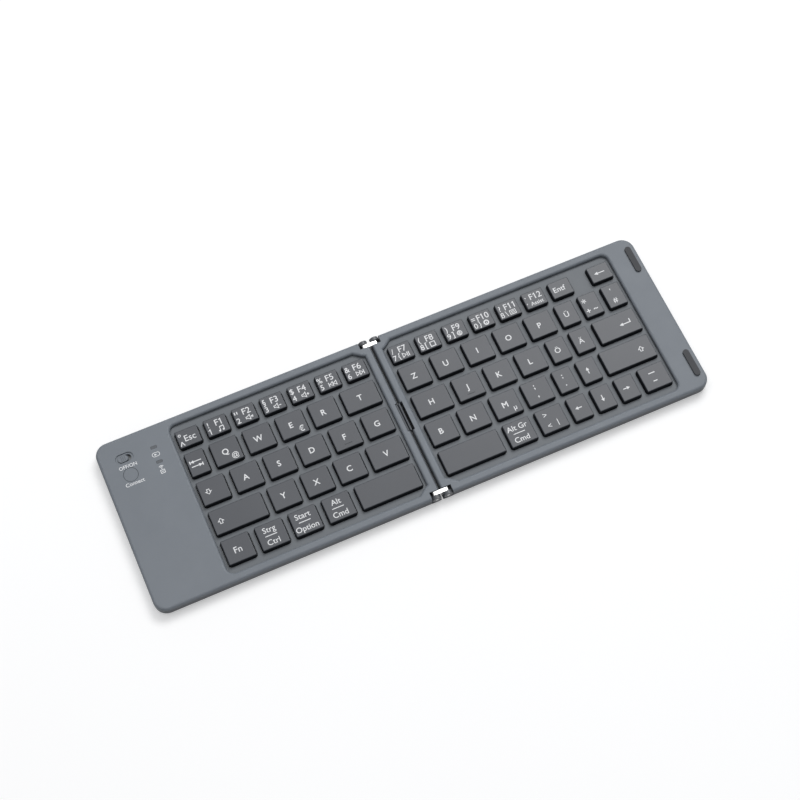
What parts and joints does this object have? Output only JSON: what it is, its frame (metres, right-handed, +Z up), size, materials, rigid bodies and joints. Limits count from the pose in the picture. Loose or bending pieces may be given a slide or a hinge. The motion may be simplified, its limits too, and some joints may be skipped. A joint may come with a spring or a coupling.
{
  "type": "folding keyboard",
  "caption": "Thin pocket keyboard that folds in the middle on double-pivot hinges, with low scissor keys, a slide power switch and a round connect button.",
  "frame": {"origin": "on the surface that the feet stand on, on the fold line, in the middle of the depth", "axes": "+X along the length towards the right-hand half, +Y to the rear (number row side), +Z up out of the keys"},
  "size_m": [0.2918, 0.0914, 0.0079],
  "materials": {
    "housing": "fine matte grey, slightly blue",
    "keycap": "matte dark grey",
    "hinge_bracket": "smooth dark grey",
    "pin_steel": "turned",
    "link_metal": "bright, finely brushed",
    "screw_steel": "dark zinc",
    "plate_steel": "plain sheet",
    "membrane_film": "satin film",
    "silicone": "soft",
    "scissor_plastic": "natural",
    "pad_rubber": "matte dark grey",
    "board": "solder mask green",
    "battery_foil": "foil pouch",
    "window": "smoked, translucent",
    "flex": "black film",
    "sleeve": "soft grey",
    "print": "white ink"
  },
  "bodies": {
    "left_half": {"left_top_cover": "housing", "left_bottom_cover": "housing", "left_key_plate": "plate_steel", "left_membrane": "membrane_film", "left_domes": "silicone", "left_scissors": "scissor_plastic", "left_hinge_brackets": "hinge_bracket", "left_hinge_pins": "pin_steel", "left_screws": "screw_steel", "left_feet": "pad_rubber", "circuit_board": "board", "battery": "battery_foil", "charging_port": "plate_steel", "switch_body": "plate_steel", "button_contact": "plate_steel", "indicator_windows": "window", "flex_cable": "flex", "cable_sleeve": "sleeve"},
    "hinge_links": {"front_hinge_link": "link_metal", "rear_hinge_link": "link_metal"},
    "right_half": {"right_top_cover": "housing", "right_bottom_cover": "housing", "right_key_plate": "plate_steel", "right_membrane": "membrane_film", "right_domes": "silicone", "right_scissors": "scissor_plastic", "right_hinge_brackets": "hinge_bracket", "right_hinge_pins": "pin_steel", "right_screws": "screw_steel", "right_feet": "pad_rubber", "closing_bumpers": "pad_rubber"},
    "power_switch_knob": {"switch_knob": "housing"},
    "connect_button_cap": {"connect_button": "housing"},
    "key_escape_body": {"key_escape": "keycap"},
    "keys_f1_to_f6_body": {"keys_f1_to_f6": "keycap"},
    "key_tab_body": {"key_tab": "keycap"},
    "keys_q_to_t_body": {"keys_q_to_t": "keycap"},
    "key_caps_lock_body": {"key_caps_lock": "keycap"},
    "keys_a_to_g_body": {"keys_a_to_g": "keycap"},
    "key_left_shift_body": {"key_left_shift": "keycap"},
    "keys_y_to_v_body": {"keys_y_to_v": "keycap"},
    "key_fn_body": {"key_fn": "keycap"},
    "keys_ctrl_start_alt_body": {"keys_ctrl_start_alt": "keycap"},
    "key_left_space_body": {"key_left_space": "keycap"},
    "keys_f7_to_f12_body": {"keys_f7_to_f12": "keycap"},
    "key_delete_body": {"key_delete": "keycap"},
    "key_backspace_body": {"key_backspace": "keycap"},
    "keys_z_to_p_body": {"keys_z_to_p": "keycap"},
    "keys_u_umlaut_plus_hash_body": {"keys_u_umlaut_plus_hash": "keycap"},
    "keys_h_to_l_body": {"keys_h_to_l": "keycap"},
    "keys_o_a_umlaut_body": {"keys_o_a_umlaut": "keycap"},
    "key_enter_body": {"key_enter": "keycap"},
    "keys_b_to_m_body": {"keys_b_to_m": "keycap"},
    "keys_comma_point_body": {"keys_comma_point": "keycap"},
    "key_up_arrow_body": {"key_up_arrow": "keycap"},
    "key_right_shift_body": {"key_right_shift": "keycap"},
    "key_right_space_body": {"key_right_space": "keycap"},
    "keys_alt_angle_body": {"keys_alt_angle": "keycap"},
    "keys_lower_arrows_body": {"keys_lower_arrows": "keycap"},
    "key_minus_body": {"key_minus": "keycap"}
  },
  "joints": [
    {"name": "left_hinge", "type": "hinge", "parent": "left_half", "child": "hinge_links", "pos_m": [-0.003, 0, 0.0046], "axis": [0, -1, 0], "range_deg": [0, 90], "deforming": ["flex_cable", "cable_sleeve"]},
    {"name": "right_hinge", "type": "hinge", "parent": "hinge_links", "child": "right_half", "pos_m": [0.003, 0, 0.0046], "axis": [0, -1, 0], "range_deg": [0, 90], "deforming": ["flex_cable", "cable_sleeve"]},
    {"name": "power_switch", "type": "slide", "parent": "left_half", "child": "power_switch_knob", "axis": [1, 0, 0], "range_m": [0, 0.0015]},
    {"name": "connect_press", "type": "slide", "parent": "left_half", "child": "connect_button_cap", "axis": [0, 0, -1], "range_m": [0, 0.00035], "stiffness_N_per_m": 1400},
    {"name": "press_escape", "type": "slide", "parent": "left_half", "child": "key_escape_body", "axis": [0, 0, -1], "range_m": [0, 0.0012], "stiffness_N_per_m": 450, "deforming": ["left_domes", "left_scissors"]},
    {"name": "press_f1_to_f6", "type": "slide", "parent": "left_half", "child": "keys_f1_to_f6_body", "axis": [0, 0, -1], "range_m": [0, 0.0012], "stiffness_N_per_m": 450, "deforming": ["left_domes", "left_scissors"]},
    {"name": "press_tab", "type": "slide", "parent": "left_half", "child": "key_tab_body", "axis": [0, 0, -1], "range_m": [0, 0.0012], "stiffness_N_per_m": 450, "deforming": ["left_domes", "left_scissors"]},
    {"name": "press_q_to_t", "type": "slide", "parent": "left_half", "child": "keys_q_to_t_body", "axis": [0, 0, -1], "range_m": [0, 0.0012], "stiffness_N_per_m": 450, "deforming": ["left_domes", "left_scissors"]},
    {"name": "press_caps_lock", "type": "slide", "parent": "left_half", "child": "key_caps_lock_body", "axis": [0, 0, -1], "range_m": [0, 0.0012], "stiffness_N_per_m": 450, "deforming": ["left_domes", "left_scissors"]},
    {"name": "press_a_to_g", "type": "slide", "parent": "left_half", "child": "keys_a_to_g_body", "axis": [0, 0, -1], "range_m": [0, 0.0012], "stiffness_N_per_m": 450, "deforming": ["left_domes", "left_scissors"]},
    {"name": "press_left_shift", "type": "slide", "parent": "left_half", "child": "key_left_shift_body", "axis": [0, 0, -1], "range_m": [0, 0.0012], "stiffness_N_per_m": 450, "deforming": ["left_domes", "left_scissors"]},
    {"name": "press_y_to_v", "type": "slide", "parent": "left_half", "child": "keys_y_to_v_body", "axis": [0, 0, -1], "range_m": [0, 0.0012], "stiffness_N_per_m": 450, "deforming": ["left_domes", "left_scissors"]},
    {"name": "press_fn", "type": "slide", "parent": "left_half", "child": "key_fn_body", "axis": [0, 0, -1], "range_m": [0, 0.0012], "stiffness_N_per_m": 450, "deforming": ["left_domes", "left_scissors"]},
    {"name": "press_ctrl_start_alt", "type": "slide", "parent": "left_half", "child": "keys_ctrl_start_alt_body", "axis": [0, 0, -1], "range_m": [0, 0.0012], "stiffness_N_per_m": 450, "deforming": ["left_domes", "left_scissors"]},
    {"name": "press_left_space", "type": "slide", "parent": "left_half", "child": "key_left_space_body", "axis": [0, 0, -1], "range_m": [0, 0.0012], "stiffness_N_per_m": 450, "deforming": ["left_domes", "left_scissors"]},
    {"name": "press_f7_to_f12", "type": "slide", "parent": "right_half", "child": "keys_f7_to_f12_body", "axis": [0, 0, -1], "range_m": [0, 0.0012], "stiffness_N_per_m": 450, "deforming": ["right_domes", "right_scissors"]},
    {"name": "press_delete", "type": "slide", "parent": "right_half", "child": "key_delete_body", "axis": [0, 0, -1], "range_m": [0, 0.0012], "stiffness_N_per_m": 450, "deforming": ["right_domes", "right_scissors"]},
    {"name": "press_backspace", "type": "slide", "parent": "right_half", "child": "key_backspace_body", "axis": [0, 0, -1], "range_m": [0, 0.0012], "stiffness_N_per_m": 450, "deforming": ["right_domes", "right_scissors"]},
    {"name": "press_z_to_p", "type": "slide", "parent": "right_half", "child": "keys_z_to_p_body", "axis": [0, 0, -1], "range_m": [0, 0.0012], "stiffness_N_per_m": 450, "deforming": ["right_domes", "right_scissors"]},
    {"name": "press_u_umlaut_plus_hash", "type": "slide", "parent": "right_half", "child": "keys_u_umlaut_plus_hash_body", "axis": [0, 0, -1], "range_m": [0, 0.0012], "stiffness_N_per_m": 450, "deforming": ["right_domes", "right_scissors"]},
    {"name": "press_h_to_l", "type": "slide", "parent": "right_half", "child": "keys_h_to_l_body", "axis": [0, 0, -1], "range_m": [0, 0.0012], "stiffness_N_per_m": 450, "deforming": ["right_domes", "right_scissors"]},
    {"name": "press_o_a_umlaut", "type": "slide", "parent": "right_half", "child": "keys_o_a_umlaut_body", "axis": [0, 0, -1], "range_m": [0, 0.0012], "stiffness_N_per_m": 450, "deforming": ["right_domes", "right_scissors"]},
    {"name": "press_enter", "type": "slide", "parent": "right_half", "child": "key_enter_body", "axis": [0, 0, -1], "range_m": [0, 0.0012], "stiffness_N_per_m": 450, "deforming": ["right_domes", "right_scissors"]},
    {"name": "press_b_to_m", "type": "slide", "parent": "right_half", "child": "keys_b_to_m_body", "axis": [0, 0, -1], "range_m": [0, 0.0012], "stiffness_N_per_m": 450, "deforming": ["right_domes", "right_scissors"]},
    {"name": "press_comma_point", "type": "slide", "parent": "right_half", "child": "keys_comma_point_body", "axis": [0, 0, -1], "range_m": [0, 0.0012], "stiffness_N_per_m": 450, "deforming": ["right_domes", "right_scissors"]},
    {"name": "press_up_arrow", "type": "slide", "parent": "right_half", "child": "key_up_arrow_body", "axis": [0, 0, -1], "range_m": [0, 0.0012], "stiffness_N_per_m": 450, "deforming": ["right_domes", "right_scissors"]},
    {"name": "press_right_shift", "type": "slide", "parent": "right_half", "child": "key_right_shift_body", "axis": [0, 0, -1], "range_m": [0, 0.0012], "stiffness_N_per_m": 450, "deforming": ["right_domes", "right_scissors"]},
    {"name": "press_right_space", "type": "slide", "parent": "right_half", "child": "key_right_space_body", "axis": [0, 0, -1], "range_m": [0, 0.0012], "stiffness_N_per_m": 450, "deforming": ["right_domes", "right_scissors"]},
    {"name": "press_alt_angle", "type": "slide", "parent": "right_half", "child": "keys_alt_angle_body", "axis": [0, 0, -1], "range_m": [0, 0.0012], "stiffness_N_per_m": 450, "deforming": ["right_domes", "right_scissors"]},
    {"name": "press_lower_arrows", "type": "slide", "parent": "right_half", "child": "keys_lower_arrows_body", "axis": [0, 0, -1], "range_m": [0, 0.0012], "stiffness_N_per_m": 450, "deforming": ["right_domes", "right_scissors"]},
    {"name": "press_minus", "type": "slide", "parent": "right_half", "child": "key_minus_body", "axis": [0, 0, -1], "range_m": [0, 0.0012], "stiffness_N_per_m": 450, "deforming": ["right_domes", "right_scissors"]}
  ]
}
